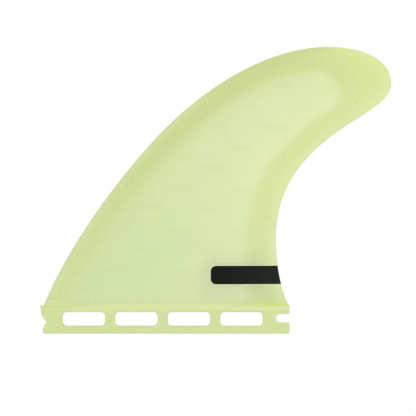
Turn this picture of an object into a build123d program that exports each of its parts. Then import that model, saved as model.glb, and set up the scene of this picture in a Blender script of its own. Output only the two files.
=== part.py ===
from build123d import *
import math
import os

# Surfboard side fin with a single slotted base tab.
# Millimetres. Origin: middle of the tab's length and thickness, on the plane of the board's bottom.
# +X runs back towards the trailing edge and the tip, +Z away from the board, +Y to the flat inside face.
# The blade is foiled on its outside face (-Y) only. A sheet of hexagonal-cell core is moulded inside it.

# Base tab that goes into the slot in the board
TAB_LENGTH = 114.3
TAB_DEPTH = 12.7
TAB_THICKNESS = 7.0
TAB_PLAN_CORNER = 0.4
LAND_HEIGHT = 2.1
LAND_STEP = 0.2
LAND_SLOPE = 0.4
TAB_DRAFT = 0.1
TAB_BOTTOM_CHAMFER = 0.6

# Front end of the tab: a lip, then a V notch for the grub screw, then a set-back toe
FRONT_LIP_DEPTH = 3.9
FRONT_LIP_SLOPE = 0.3
NOTCH_DEPTH = 2.7
NOTCH_DROP = 7.5
NOTCH_RADIUS = 0.5
TOE_SETBACK = 1.1
TOE_DROP = 10.1
TOE_CORNER = 0.9

# Rear end of the tab: a slot that slides over the pin in the board's box
SLOT_LENGTH = 6.2
SLOT_MOUTH = 4.4
SLOT_END = 4.1
SLOT_END_RADIUS = 1.9
SLOT_DROP = 5.8
REAR_CORNER = 0.9
LIP_ROUND = 0.4

# Windows through the tab
WINDOW_COUNT = 4
WINDOW_PITCH = 24.2
WINDOW_LENGTH = 19.5
WINDOW_HEIGHT = 6.2
WINDOW_RADIUS = 1.8
WINDOW_DROP = 6.1
WINDOW_SHIFT = -1.15
WINDOW_DRAFT_DEGREES = 3.0

# Outline of the blade, seen from the side
FIN_DEPTH = 119.3
FRONT_SHOULDER = 1.08
REAR_SHOULDER = 0.1
LEAD_KNOT_RUN = 51.0
LEAD_KNOT_BELOW_TOP = 42.9
LEAD_BASE_DEGREES = 68.0
LEAD_KNOT_DEGREES = 47.5
LEAD_BASE_PULL = 25.3
LEAD_KNOT_PULL_DOWN = 32.0
LEAD_KNOT_PULL_UP = 28.2
TOP_PULL_FRONT = 30.9
TOP_PULL_REAR = 13.9
TIP_OVERHANG = 47.3
TIP_ROUND_LENGTH = 28.8
TIP_ROUND_DROP = 17.0
TIP_PULL_UP = 12.1
TIP_PULL_DOWN = 8.6
UNDER_TIP_RUN = 28.0
UNDER_TIP_DROP = 24.4
UNDER_TIP_DEGREES = 37.1
UNDER_TIP_PULL_BACK = 14.4
UNDER_TIP_PULL_DOWN = 19.3
WAIST_SET_IN = 6.0
WAIST_HEIGHT = 30.8
WAIST_PULL_UP = 20.9
WAIST_PULL_DOWN = 11.7
TRAIL_BASE_DEGREES = 61.9
TRAIL_BASE_PULL = 7.9

# Foil: flat inside, convex outside, thickest ahead of the middle of the chord
ROOT_THICKNESS = 6.8
TIP_THICKNESS = 1.5
THICKNESS_FALL_POWER = 2.0
THICKEST_FRACTION = 0.38
LEAD_FULLNESS = 2.4
TRAIL_FALL_POWER = 1.9
TRAILING_EDGE = 0.9
NOSE_ROOT = 0.7
NOSE_TIP = 0.35
INSIDE_SHOULDER = 0.1
TOP_CAP_DROP = 0.15
SECTION_COUNT = 19
FOIL_POINTS = 10
HALVING_STEPS = 50

# Core sheet with raised hexagonal cells on its outside face
CORE_SHEET = 0.5
CORE_CELL_HEIGHT = 0.9
CORE_INSIDE_SKIN = 0.6
CORE_BASE_GAP = 0.8
CORE_FEATHER = 2.2
CORE_LEAD_RIM = 9.1
CORE_TOP_RIM = 11.1
CORE_TIP_RIM = 23.7
CORE_TRAIL_RIM = 13.7
CORE_BASE_RIM = 17.5
CORE_TOP_RUN = 11.0
CORE_TIP_DROP = 11.6
CORE_UNDER_TIP_RUN = 6.5
CORE_UNDER_TIP_DROP = 8.1
CORE_WAIST_HEIGHT = 28.3
CORE_LEAD_DEGREES = 61.3
CORE_LEAD_PULL = 63.3
CORE_TOP_PULL_FRONT = 38.8
CORE_TOP_PULL_REAR = 7.8
CORE_TIP_PULL_UP = 4.4
CORE_TIP_PULL_DOWN = 3.4
CORE_UNDER_TIP_DEGREES = 32.0
CORE_UNDER_TIP_PULL_BACK = 3.0
CORE_UNDER_TIP_PULL_DOWN = 25.0
CORE_WAIST_PULL_UP = 24.7
CORE_WAIST_PULL_DOWN = 10.0
CORE_TRAIL_DEGREES = 80.0
CORE_TRAIL_PULL = 7.0
CELL_WIDTH = 19.15
CELL_HEIGHT_PITCH = 19.45
CELL_CHANNEL = 0.7
CELL_TURN_DEGREES = -1.7
CELL_ORIGIN_X = 7.5
CELL_ORIGIN_Z = 24.8

# Black label film, set flush in the outside face and cut off at the trailing edge
LABEL_THICKNESS = 0.15
LABEL_HEIGHT = 8.5
LABEL_BASE_HEIGHT = 9.85
LABEL_REACH = 30.1
LABEL_CORNER = 2.5

# Places that follow from the sizes above
TAB_FRONT_X = -TAB_LENGTH / 2
TAB_REAR_X = TAB_LENGTH / 2
INSIDE_Y = TAB_THICKNESS / 2 - INSIDE_SHOULDER
BASE_FRONT_X = TAB_FRONT_X + FRONT_SHOULDER
BASE_REAR_X = TAB_REAR_X - REAR_SHOULDER
TIP_X = BASE_REAR_X + TIP_OVERHANG
TIP_Z = FIN_DEPTH - TIP_ROUND_DROP
WAIST_X = BASE_REAR_X - WAIST_SET_IN


def along(start, degrees, distance):
    """The point at a distance from start, along a direction in the XZ plane."""
    angle = math.radians(degrees)
    return (start[0] + distance * math.cos(angle), start[1] + distance * math.sin(angle))


def leading_curves():
    """Control points of the leading edge, from the base to the top, as two cubic curves."""
    base = (BASE_FRONT_X, 0.0)
    knot = (BASE_FRONT_X + LEAD_KNOT_RUN, FIN_DEPTH - LEAD_KNOT_BELOW_TOP)
    top = (TIP_X - TIP_ROUND_LENGTH, FIN_DEPTH)
    return [
        (
            base,
            along(base, LEAD_BASE_DEGREES, LEAD_BASE_PULL),
            along(knot, LEAD_KNOT_DEGREES, -LEAD_KNOT_PULL_DOWN),
            knot,
        ),
        (
            knot,
            along(knot, LEAD_KNOT_DEGREES, LEAD_KNOT_PULL_UP),
            (top[0] - TOP_PULL_FRONT, top[1]),
            top,
        ),
    ]


def trailing_curves():
    """Control points from the base up the trailing edge, round the tip, to the top."""
    base = (BASE_REAR_X, 0.0)
    waist = (WAIST_X, WAIST_HEIGHT)
    nose = (TIP_X, TIP_Z)
    under = (nose[0] - UNDER_TIP_RUN, nose[1] - UNDER_TIP_DROP)
    top = (TIP_X - TIP_ROUND_LENGTH, FIN_DEPTH)
    return [
        (
            base,
            along(base, 180 - TRAIL_BASE_DEGREES, TRAIL_BASE_PULL),
            (waist[0], waist[1] - WAIST_PULL_DOWN),
            waist,
        ),
        (
            waist,
            (waist[0], waist[1] + WAIST_PULL_UP),
            along(under, UNDER_TIP_DEGREES, -UNDER_TIP_PULL_DOWN),
            under,
        ),
        (
            under,
            along(under, UNDER_TIP_DEGREES, UNDER_TIP_PULL_BACK),
            (nose[0], nose[1] - TIP_PULL_DOWN),
            nose,
        ),
        (
            nose,
            (nose[0], nose[1] + TIP_PULL_UP),
            (top[0] + TOP_PULL_REAR, top[1]),
            top,
        ),
    ]


def cubic_point(curve, u):
    """The point of a cubic curve at parameter u, from its four control points."""
    v = 1 - u
    weights = (v**3, 3 * v * v * u, 3 * v * u * u, u**3)
    return tuple(sum(w * p[axis] for w, p in zip(weights, curve)) for axis in (0, 1))


def x_at_height(curves, height):
    """Where a chain of rising curves reaches a height, found by halving."""
    curve = next((c for c in curves if height <= c[3][1]), curves[-1])
    low, high = 0.0, 1.0
    for _ in range(HALVING_STEPS):
        middle = (low + high) / 2
        if cubic_point(curve, middle)[1] < height:
            low = middle
        else:
            high = middle
    return cubic_point(curve, (low + high) / 2)[0]


def share_of_depth(height):
    """Height as a share of the blade's depth."""
    return height / FIN_DEPTH


def greatest_thickness(height):
    """Thickness of the section at its thickest point."""
    fall = share_of_depth(height) ** THICKNESS_FALL_POWER
    return ROOT_THICKNESS + (TIP_THICKNESS - ROOT_THICKNESS) * fall


def nose_radius(height):
    """Radius that rounds the leading edge on the inside face."""
    return NOSE_ROOT + (NOSE_TIP - NOSE_ROOT) * share_of_depth(height)


def foil_thickness(fraction, height):
    """Thickness at a fraction of the chord: a superellipse to the thickest point, then a power curve."""
    full = greatest_thickness(height)
    nose = nose_radius(height)
    if fraction < THICKEST_FRACTION:
        rise = 1 - (1 - fraction / THICKEST_FRACTION) ** LEAD_FULLNESS
        return nose + (full - nose) * math.sqrt(rise)
    fall = ((fraction - THICKEST_FRACTION) / (1 - THICKEST_FRACTION)) ** TRAIL_FALL_POWER
    return full - (full - TRAILING_EDGE) * fall


def foil_section(height):
    """One closed section of the blade, level with the board."""
    lead = x_at_height(leading_curves(), height)
    trail = x_at_height(trailing_curves(), height)
    chord = trail - lead
    nose = nose_radius(height)
    outside = []
    for index in range(FOIL_POINTS + 1):
        fraction = (1 + math.cos(math.pi * index / FOIL_POINTS)) / 2
        y = INSIDE_Y - foil_thickness(fraction, height)
        outside.append(Vector(lead + chord * fraction, y, height))
    inside_lead = Vector(lead + nose, INSIDE_Y, height)
    inside_trail = Vector(trail, INSIDE_Y, height)
    nose_point = outside[-1]
    middle_angle = math.pi / 4
    nose_middle = Vector(
        lead + nose * (1 - math.cos(middle_angle)),
        INSIDE_Y - nose * (1 - math.sin(middle_angle)),
        height,
    )
    trail_slope = (outside[1] - outside[0]).normalized()
    return Wire(
        [
            Line(inside_lead, inside_trail).edge(),
            Line(inside_trail, outside[0]).edge(),
            Spline(*outside, tangents=[trail_slope, Vector(0, 1, 0)]).edge(),
            ThreePointArc(nose_point, nose_middle, inside_lead).edge(),
        ]
    )


def blade():
    """The foiled blade, lofted through level sections that crowd together towards the top."""
    reach = FIN_DEPTH - TOP_CAP_DROP
    quarter = math.pi / 2
    heights = [reach * math.sin(quarter * i / (SECTION_COUNT - 1)) for i in range(SECTION_COUNT)]
    return Solid.make_loft([foil_section(height) for height in heights])


def tab_section():
    """Cross-section of the tab: a full-width land at the top, then drafted sides and a chamfered foot."""
    half = TAB_THICKNESS / 2
    side = half - LAND_STEP
    foot = side - TAB_DRAFT
    right = [
        (half, 0),
        (half, -LAND_HEIGHT),
        (side, -LAND_HEIGHT - LAND_SLOPE),
        (foot, -TAB_DEPTH + TAB_BOTTOM_CHAMFER),
        (foot - TAB_BOTTOM_CHAMFER, -TAB_DEPTH),
    ]
    left = [(-y, z) for y, z in reversed(right)]
    return Plane.YZ * make_face(Polyline(*right, *left, close=True))


def rounded(face, places, radius):
    """The face with its corners nearest to the given places rounded."""
    corners = [
        min(face.vertices(), key=lambda corner: math.dist((corner.X, corner.Y), place))
        for place in places
    ]
    return fillet(corners, radius)


def tab_profile():
    """Side view of the tab without its windows: the lip and V notch in front, the pin slot behind."""
    front = TAB_FRONT_X
    rear = TAB_REAR_X
    notch = (front + NOTCH_DEPTH, -NOTCH_DROP)
    toe = (front + TOE_SETBACK, -TAB_DEPTH)
    heel = (rear, -TAB_DEPTH)
    slot_mouth = [(rear, -SLOT_DROP - SLOT_MOUTH / 2), (rear, -SLOT_DROP + SLOT_MOUTH / 2)]
    slot_end = [
        (rear - SLOT_LENGTH, -SLOT_DROP - SLOT_END / 2),
        (rear - SLOT_LENGTH, -SLOT_DROP + SLOT_END / 2),
    ]
    outline = Polyline(
        (front, 0),
        (front + FRONT_LIP_SLOPE, -FRONT_LIP_DEPTH),
        notch,
        (front + TOE_SETBACK, -TOE_DROP),
        toe,
        heel,
        slot_mouth[0],
        slot_end[0],
        slot_end[1],
        slot_mouth[1],
        (rear, 0),
        close=True,
    )
    face = make_face(outline)
    face = rounded(face, [notch], NOTCH_RADIUS)
    face = rounded(face, [toe], TOE_CORNER)
    face = rounded(face, [heel], REAR_CORNER)
    face = rounded(face, slot_end, SLOT_END_RADIUS)
    face = rounded(face, slot_mouth, LIP_ROUND)
    return Plane.XZ * face


def tab_plan():
    """View from above, with the ends' upright corners rounded."""
    return RectangleRounded(TAB_LENGTH, TAB_THICKNESS, TAB_PLAN_CORNER)


def window_cut():
    """One window with draft both ways from the middle of the tab."""
    reach = TAB_THICKNESS
    spread = reach * math.tan(math.radians(WINDOW_DRAFT_DEGREES))
    middle = RectangleRounded(WINDOW_LENGTH, WINDOW_HEIGHT, WINDOW_RADIUS)
    mouth = RectangleRounded(
        WINDOW_LENGTH + 2 * spread, WINDOW_HEIGHT + 2 * spread, WINDOW_RADIUS + spread
    )
    outwards = loft([Plane.XZ * middle, Plane.XZ.offset(reach) * mouth], ruled=True)
    return outwards + mirror(outwards, Plane.XZ)


def window_positions():
    """Middle of each window, spaced evenly about the shifted middle of the tab."""
    first = WINDOW_SHIFT - WINDOW_PITCH * (WINDOW_COUNT - 1) / 2
    return [Pos(first + WINDOW_PITCH * i, 0, -WINDOW_DROP) for i in range(WINDOW_COUNT)]


def tab():
    """The base tab, as the part common to its three views, less the windows."""
    lengthwise = extrude(tab_section(), TAB_LENGTH / 2, both=True)
    across = extrude(tab_profile(), TAB_THICKNESS, both=True)
    upright = extrude(tab_plan(), -TAB_DEPTH)
    body = lengthwise & across & upright
    for place in window_positions():
        body -= place * window_cut()
    return body


def core_outline(inset, y):
    """Outline of the core sheet at one level of its thickness, drawn in from its full size by an inset.

    At full size it keeps a rim of solid laminate along every edge of the blade.
    """
    floor = CORE_BASE_GAP + inset
    reach = TIP_X - CORE_TIP_RIM
    tip_height = FIN_DEPTH - CORE_TOP_RIM - CORE_TIP_DROP
    front = (BASE_FRONT_X + CORE_LEAD_RIM + inset, floor)
    top = (reach - CORE_TOP_RUN, FIN_DEPTH - CORE_TOP_RIM - inset)
    tip = (reach - inset, tip_height)
    under_outside = (reach - CORE_UNDER_TIP_RUN, tip_height - CORE_UNDER_TIP_DROP)
    under = along(under_outside, CORE_UNDER_TIP_DEGREES + 90, inset)
    waist = (WAIST_X - CORE_TRAIL_RIM - inset, CORE_WAIST_HEIGHT)
    rear = (BASE_REAR_X - CORE_BASE_RIM - inset, floor)
    curves = [
        (
            front,
            along(front, CORE_LEAD_DEGREES, CORE_LEAD_PULL),
            (top[0] - CORE_TOP_PULL_FRONT, top[1]),
            top,
        ),
        (
            top,
            (top[0] + CORE_TOP_PULL_REAR, top[1]),
            (tip[0], tip[1] + CORE_TIP_PULL_UP),
            tip,
        ),
        (
            tip,
            (tip[0], tip[1] - CORE_TIP_PULL_DOWN),
            along(under, CORE_UNDER_TIP_DEGREES, CORE_UNDER_TIP_PULL_BACK),
            under,
        ),
        (
            under,
            along(under, CORE_UNDER_TIP_DEGREES, -CORE_UNDER_TIP_PULL_DOWN),
            (waist[0], waist[1] + CORE_WAIST_PULL_UP),
            waist,
        ),
        (
            waist,
            (waist[0], waist[1] - CORE_WAIST_PULL_DOWN),
            along(rear, 180 - CORE_TRAIL_DEGREES, CORE_TRAIL_PULL),
            rear,
        ),
        (rear, front),
    ]
    edges = []
    for curve in curves:
        points = [Vector(x, y, z) for x, z in curve]
        edges.append(Bezier(*points).edge() if len(points) > 2 else Line(*points).edge())
    return Wire(edges)


def cell_positions():
    """Middles of the hexagonal cells: upright columns, every other one half a cell higher."""
    column_pitch = CELL_WIDTH * 3 / 4
    columns = math.ceil((TIP_X - BASE_FRONT_X) / column_pitch)
    rows = math.ceil(FIN_DEPTH / CELL_HEIGHT_PITCH)
    places = []
    for column in range(-columns, columns + 1):
        lift = CELL_HEIGHT_PITCH / 2 if column % 2 else 0
        for row in range(-rows, rows + 1):
            places.append((column * column_pitch, row * CELL_HEIGHT_PITCH + lift))
    return places


def cell_shape():
    """One cell seen from the side: a hexagon with level top and bottom, less half a channel all round."""
    half_width = CELL_WIDTH / 2 - CELL_CHANNEL / math.sqrt(3)
    half_height = (CELL_HEIGHT_PITCH - CELL_CHANNEL) / 2
    corners = [
        (half_width, 0),
        (half_width / 2, half_height),
        (-half_width / 2, half_height),
        (-half_width, 0),
        (-half_width / 2, -half_height),
        (half_width / 2, -half_height),
    ]
    return make_face(Polyline(*corners, close=True))


def core_cells(limits, y):
    """The hexagonal cells that reach into the core's box, standing out from a level of its thickness."""
    turned = Pos(CELL_ORIGIN_X, CELL_ORIGIN_Z) * Rot(0, 0, CELL_TURN_DEGREES)
    cells = []
    for x, z in cell_positions():
        cell = turned * Pos(x, z) * cell_shape()
        box = cell.bounding_box()
        beside = box.max.X < limits.min.X or box.min.X > limits.max.X
        above_or_below = box.max.Y < limits.min.Z or box.min.Y > limits.max.Z
        if not beside and not above_or_below:
            cells.append(extrude(Plane.XZ.offset(-y) * cell, CORE_CELL_HEIGHT))
    return cells


def core_panel():
    """The core: a thin sheet with hexagonal cells standing on it, all cut to one feathered outline."""
    back = INSIDE_Y - CORE_INSIDE_SKIN
    middle = back - CORE_SHEET
    front = middle - CORE_CELL_HEIGHT
    sheet = Solid.make_loft([core_outline(0, back), core_outline(0, middle)], ruled=True)
    boundary = Solid.make_loft(
        [core_outline(0, middle), core_outline(CORE_FEATHER, front)], ruled=True
    )
    cells = []
    for cell in core_cells(sheet.bounding_box(), middle):
        trimmed = cell & boundary
        cells += trimmed.solids()
    return sheet.fuse(*cells)


def label_film(body):
    """The label: the outer skin of the blade inside the label's outline."""
    front = WAIST_X - LABEL_REACH
    length = TIP_X - front
    middle = Pos(front + length / 2, LABEL_BASE_HEIGHT + LABEL_HEIGHT / 2)
    shape = middle * RectangleRounded(length, LABEL_HEIGHT, LABEL_CORNER)
    prism = extrude(Plane.XZ * shape, TAB_THICKNESS, both=True)
    return (body & prism) - Pos(0, LABEL_THICKNESS, 0) * body


def main():
    """Builds each piece and writes it to its own file."""
    os.makedirs("parts", exist_ok=True)
    foil = blade()
    core = core_panel()
    label = label_film(foil)
    laminate = foil + tab() - core - label
    export_step(laminate, "parts/fin_laminate.step")
    export_step(core, "parts/core_panel.step")
    export_step(label, "parts/label_film.step")


if __name__ == "__main__":
    main()
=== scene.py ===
"""Surfboard side fin with one slotted base tab: its surfaces, finishes, light and camera.

Lengths are in metres, in the frame's own axes: +X runs back towards the trailing edge and the tip, +Y out
of the flat inside face, +Z away from the board, and the seat plane is z = 0.
"""

import functools
import logging
import math
from dataclasses import dataclass
from enum import Enum

import bmesh
import bpy
import numpy as np
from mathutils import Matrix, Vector
from mathutils.geometry import tessellate_polygon


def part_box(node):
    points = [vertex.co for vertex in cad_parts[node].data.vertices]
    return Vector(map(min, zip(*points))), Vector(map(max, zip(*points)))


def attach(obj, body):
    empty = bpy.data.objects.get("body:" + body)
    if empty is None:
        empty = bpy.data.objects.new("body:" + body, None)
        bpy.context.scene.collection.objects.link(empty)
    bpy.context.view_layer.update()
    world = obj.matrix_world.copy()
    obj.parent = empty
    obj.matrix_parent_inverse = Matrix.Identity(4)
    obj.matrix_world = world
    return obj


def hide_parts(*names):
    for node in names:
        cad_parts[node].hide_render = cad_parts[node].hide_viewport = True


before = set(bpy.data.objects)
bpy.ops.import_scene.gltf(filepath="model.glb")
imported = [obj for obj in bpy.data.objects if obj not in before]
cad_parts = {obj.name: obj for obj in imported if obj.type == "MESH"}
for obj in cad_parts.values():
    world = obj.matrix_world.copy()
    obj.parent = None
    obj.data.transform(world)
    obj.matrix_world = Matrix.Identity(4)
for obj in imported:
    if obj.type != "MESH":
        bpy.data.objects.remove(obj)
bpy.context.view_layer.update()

LOG = logging.getLogger("surfboard_fin")
MM = 0.001
CURVE_SAMPLES = 900
SEARCH_BLOCKS = 48
NOISE_LOW, NOISE_HIGH = 0.3, 0.7

Socket = bpy.types.NodeSocket
Place = tuple[float, float]
Colour = tuple[float, float, float]


class Slot(Enum):
    """The record's material slots."""

    LAMINATE = "laminate"
    CORE = "core"
    LABEL = "label"


def along(start: Place, degrees: float, distance: float) -> Place:
    """The point at a distance from start, along a direction in the XZ plane.

    Args:
        start: x and z of the first point.
        degrees: direction, measured up from +X.
        distance: how far to go, which may be negative.

    Returns:
        x and z of the point reached.
    """
    angle = math.radians(degrees)
    return start[0] + distance * math.cos(angle), start[1] + distance * math.sin(angle)


@dataclass(frozen=True)
class Knot:
    """A point that a curve passes: its heading in degrees up from +X, and its pull on either side."""

    place: Place
    heading: float
    before: float = 0.0
    after: float = 0.0


def through(knots: list[Knot]) -> np.ndarray:
    """Samples of cubic curves that follow one another through knots.

    Formula: the inner control points lie past one knot and short of the next, along their headings, and
    each of the four points is weighted by its Bernstein polynomial of the parameter.

    Args:
        knots: the knots in order.

    Returns:
        One row of x and z for each sample, with each shared end kept once.
    """
    u = np.linspace(0.0, 1.0, CURVE_SAMPLES)[:, None]
    v = 1.0 - u
    parts = []
    for knot, following in zip(knots, knots[1:]):
        a, d = np.asarray(knot.place), np.asarray(following.place)
        b = np.asarray(along(knot.place, knot.heading, knot.after))
        c = np.asarray(along(following.place, following.heading, -following.before))
        parts.append(v**3 * a + 3 * v * v * u * b + 3 * v * u * u * c + u**3 * d)
    return np.concatenate([parts[0]] + [part[1:] for part in parts[1:]])


def smooth_step(low: float, high: float, values: np.ndarray) -> np.ndarray:
    """Rises from 0 at low to 1 at high, as three times the share squared less twice its cube."""
    share = np.clip((values - low) / (high - low), 0.0, 1.0)
    return share * share * (3.0 - 2.0 * share)


def quarter_circle(distance: np.ndarray, radius: np.ndarray) -> np.ndarray:
    """How far a rounded edge draws back: all of the radius at no distance, nothing past the radius."""
    share = np.clip(1.0 - distance / radius, 0.0, 1.0)
    return radius * (1.0 - np.sqrt(1.0 - share * share))


def distance_to_chain(points: np.ndarray, links: np.ndarray) -> np.ndarray:
    """Distance of each point from a chain of short straight links.

    Formula: the nearest sample of the chain is found, the point is dropped square onto the link on each
    side of that sample, and the shorter of the two distances is kept.

    Args:
        points: rows of x and z.
        links: rows of x and z, in order along the chain.

    Returns:
        One distance for each point.
    """
    squares = (links**2).sum(1)
    nearest = np.concatenate(
        [(squares - 2.0 * block @ links.T).argmin(1) for block in np.array_split(points, SEARCH_BLOCKS)]
    )
    found = []
    for first in (nearest - 1, nearest):
        index = np.clip(first, 0, len(links) - 2)
        start, run = links[index], links[index + 1] - links[index]
        share = ((points - start) * run).sum(1) / (run**2).sum(1)
        foot = start + np.clip(share, 0.0, 1.0)[:, None] * run
        found.append(np.linalg.norm(points - foot, axis=1))
    return np.minimum(*found)


def inside_loop(points: np.ndarray, loop: np.ndarray) -> np.ndarray:
    """Whether each point lies inside a closed loop.

    Formula: a level ray from the point towards +X crosses the loop an odd number of times.

    Args:
        points: rows of x and z.
        loop: rows of x and z, without the first point repeated.

    Returns:
        True or False for each point.
    """
    after = np.roll(loop, -1, axis=0)
    rise = after[:, 1] - loop[:, 1]
    slope = (after[:, 0] - loop[:, 0]) / np.where(rise == 0.0, 1.0, rise)
    answers = []
    for block in np.array_split(points, SEARCH_BLOCKS):
        height = block[:, 1:2]
        spans = (loop[:, 1] > height) != (after[:, 1] > height)
        crossing = loop[:, 0] + (height - loop[:, 1]) * slope
        answers.append((spans & (block[:, 0:1] < crossing)).sum(1) % 2 == 1)
    return np.concatenate(answers)


def ring_faces(rows: int, count: int, closed: bool) -> np.ndarray:
    """Four-sided faces between neighbouring rows of a grid of points.

    Args:
        rows: how many rows the grid has.
        count: how many points each row has.
        closed: whether each row's last point joins its first.

    Returns:
        Rows of four point numbers.
    """
    step = np.arange(count if closed else count - 1)
    row = np.arange(rows - 1)[:, None] * count
    here, after = row + step, row + (step + 1) % count
    return np.stack([here, after, after + count, here + count], axis=-1).reshape(-1, 4)


@dataclass(frozen=True)
class BladeOutline:
    """Side view of the blade: a leading and a trailing chain of cubic curves that meet at the top."""

    front_shoulder: float = 1.08 * MM
    rear_shoulder: float = 0.1 * MM
    top_cap: float = 0.15 * MM
    lead_knot_run: float = 51.0 * MM
    lead_knot_below_top: float = 42.9 * MM
    lead_base_degrees: float = 68.0
    lead_knot_degrees: float = 47.5
    lead_base_pull: float = 25.3 * MM
    lead_knot_pull_down: float = 32.0 * MM
    lead_knot_pull_up: float = 28.2 * MM
    top_pull_front: float = 30.9 * MM
    top_pull_rear: float = 13.9 * MM
    tip_round_length: float = 28.8 * MM
    tip_round_drop: float = 17.0 * MM
    tip_pull_up: float = 12.1 * MM
    tip_pull_down: float = 8.6 * MM
    under_tip_run: float = 28.0 * MM
    under_tip_drop: float = 24.4 * MM
    under_tip_degrees: float = 37.1
    under_tip_pull_back: float = 14.4 * MM
    under_tip_pull_down: float = 19.3 * MM
    waist_set_in: float = 6.0 * MM
    waist_height: float = 30.8 * MM
    waist_pull_up: float = 20.9 * MM
    waist_pull_down: float = 11.7 * MM
    trail_base_degrees: float = 61.9
    trail_base_pull: float = 7.9 * MM

    @property
    def base_front(self) -> float:
        """x of the leading edge at the seat plane."""
        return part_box("fin_laminate")[0].x + self.front_shoulder

    @property
    def base_rear(self) -> float:
        """x of the trailing edge at the seat plane."""
        return -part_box("fin_laminate")[0].x - self.rear_shoulder

    @property
    def tip(self) -> float:
        """x of the point of the tip that lies furthest back."""
        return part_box("fin_laminate")[1].x

    @property
    def depth(self) -> float:
        """z of the blade's top."""
        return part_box("fin_laminate")[1].z + self.top_cap

    @property
    def top(self) -> Place:
        """x and z of the blade's highest point."""
        return self.tip - self.tip_round_length, self.depth

    @property
    def waist(self) -> float:
        """x of the trailing edge where it lies furthest forward."""
        return self.base_rear - self.waist_set_in

    def leading(self) -> np.ndarray:
        """Samples of the leading edge, from the base to the top.

        Returns:
            Rows of x and z.
        """
        base = (self.base_front, 0.0)
        knot = (base[0] + self.lead_knot_run, self.depth - self.lead_knot_below_top)
        return through(
            [
                Knot(base, self.lead_base_degrees, after=self.lead_base_pull),
                Knot(knot, self.lead_knot_degrees, self.lead_knot_pull_down, self.lead_knot_pull_up),
                Knot(self.top, 0.0, before=self.top_pull_front),
            ]
        )

    def trailing(self) -> np.ndarray:
        """Samples of the trailing edge, from the base round the tip to the top.

        Returns:
            Rows of x and z.
        """
        nose = (self.tip, self.depth - self.tip_round_drop)
        under = (nose[0] - self.under_tip_run, nose[1] - self.under_tip_drop)
        return through(
            [
                Knot((self.base_rear, 0.0), 180.0 - self.trail_base_degrees, after=self.trail_base_pull),
                Knot((self.waist, self.waist_height), 90.0, self.waist_pull_down, self.waist_pull_up),
                Knot(under, self.under_tip_degrees, self.under_tip_pull_down, self.under_tip_pull_back),
                Knot(nose, 90.0, self.tip_pull_down, self.tip_pull_up),
                Knot(self.top, 180.0, before=self.top_pull_rear),
            ]
        )


@dataclass(frozen=True)
class CoreOutline:
    """Side view of the core sheet that shows through the laminate, set in from the blade's outline."""

    base_gap: float = 0.8 * MM
    lead_rim: float = 9.1 * MM
    top_rim: float = 11.1 * MM
    tip_rim: float = 23.7 * MM
    trail_rim: float = 13.7 * MM
    base_rim: float = 17.5 * MM
    top_run: float = 11.0 * MM
    tip_drop: float = 11.6 * MM
    under_tip_run: float = 6.5 * MM
    under_tip_drop: float = 8.1 * MM
    waist_height: float = 28.3 * MM
    lead_degrees: float = 61.3
    lead_pull: float = 63.3 * MM
    top_pull_front: float = 38.8 * MM
    top_pull_rear: float = 7.8 * MM
    tip_pull_up: float = 4.4 * MM
    tip_pull_down: float = 3.4 * MM
    under_tip_degrees: float = 32.0
    under_tip_pull_back: float = 3.0 * MM
    under_tip_pull_down: float = 25.0 * MM
    waist_pull_up: float = 24.7 * MM
    waist_pull_down: float = 10.0 * MM
    trail_degrees: float = 80.0
    trail_pull: float = 7.0 * MM
    below_seat: float = 20.0 * MM

    def loop(self, blade: BladeOutline) -> np.ndarray:
        """Samples round the core, carried on below the seat plane so that its lower edge fades nowhere.

        Args:
            blade: the outline that the core keeps its rims from.

        Returns:
            Rows of x and z, without the first point repeated.
        """
        reach = blade.tip - self.tip_rim
        tip_height = blade.depth - self.top_rim - self.tip_drop
        front = (blade.base_front + self.lead_rim, self.base_gap)
        rear = (blade.base_rear - self.base_rim, self.base_gap)
        top = (reach - self.top_run, blade.depth - self.top_rim)
        under = (reach - self.under_tip_run, tip_height - self.under_tip_drop)
        under_heading = 180.0 + self.under_tip_degrees
        waist = (blade.waist - self.trail_rim, self.waist_height)
        round_top = through(
            [
                Knot(front, self.lead_degrees, after=self.lead_pull),
                Knot(top, 0.0, self.top_pull_front, self.top_pull_rear),
                Knot((reach, tip_height), -90.0, self.tip_pull_up, self.tip_pull_down),
                Knot(under, under_heading, self.under_tip_pull_back, self.under_tip_pull_down),
                Knot(waist, -90.0, self.waist_pull_up, self.waist_pull_down),
                Knot(rear, -self.trail_degrees, before=self.trail_pull),
            ]
        )
        foot_rear = along(rear, -self.trail_degrees, self.below_seat)
        foot_front = along(front, self.lead_degrees, -self.below_seat)
        return np.concatenate([round_top, [foot_rear, foot_front]])

    def depth_inside(self, points: np.ndarray, blade: BladeOutline) -> np.ndarray:
        """Signed distance from the core's border, positive inside the core.

        Args:
            points: rows of x and z.
            blade: the outline that the core keeps its rims from.

        Returns:
            One distance for each point.
        """
        loop = self.loop(blade)
        closed = np.concatenate([loop, loop[:1]])
        sign = np.where(inside_loop(points, loop), 1.0, -1.0)
        return sign * distance_to_chain(points, closed)


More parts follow.
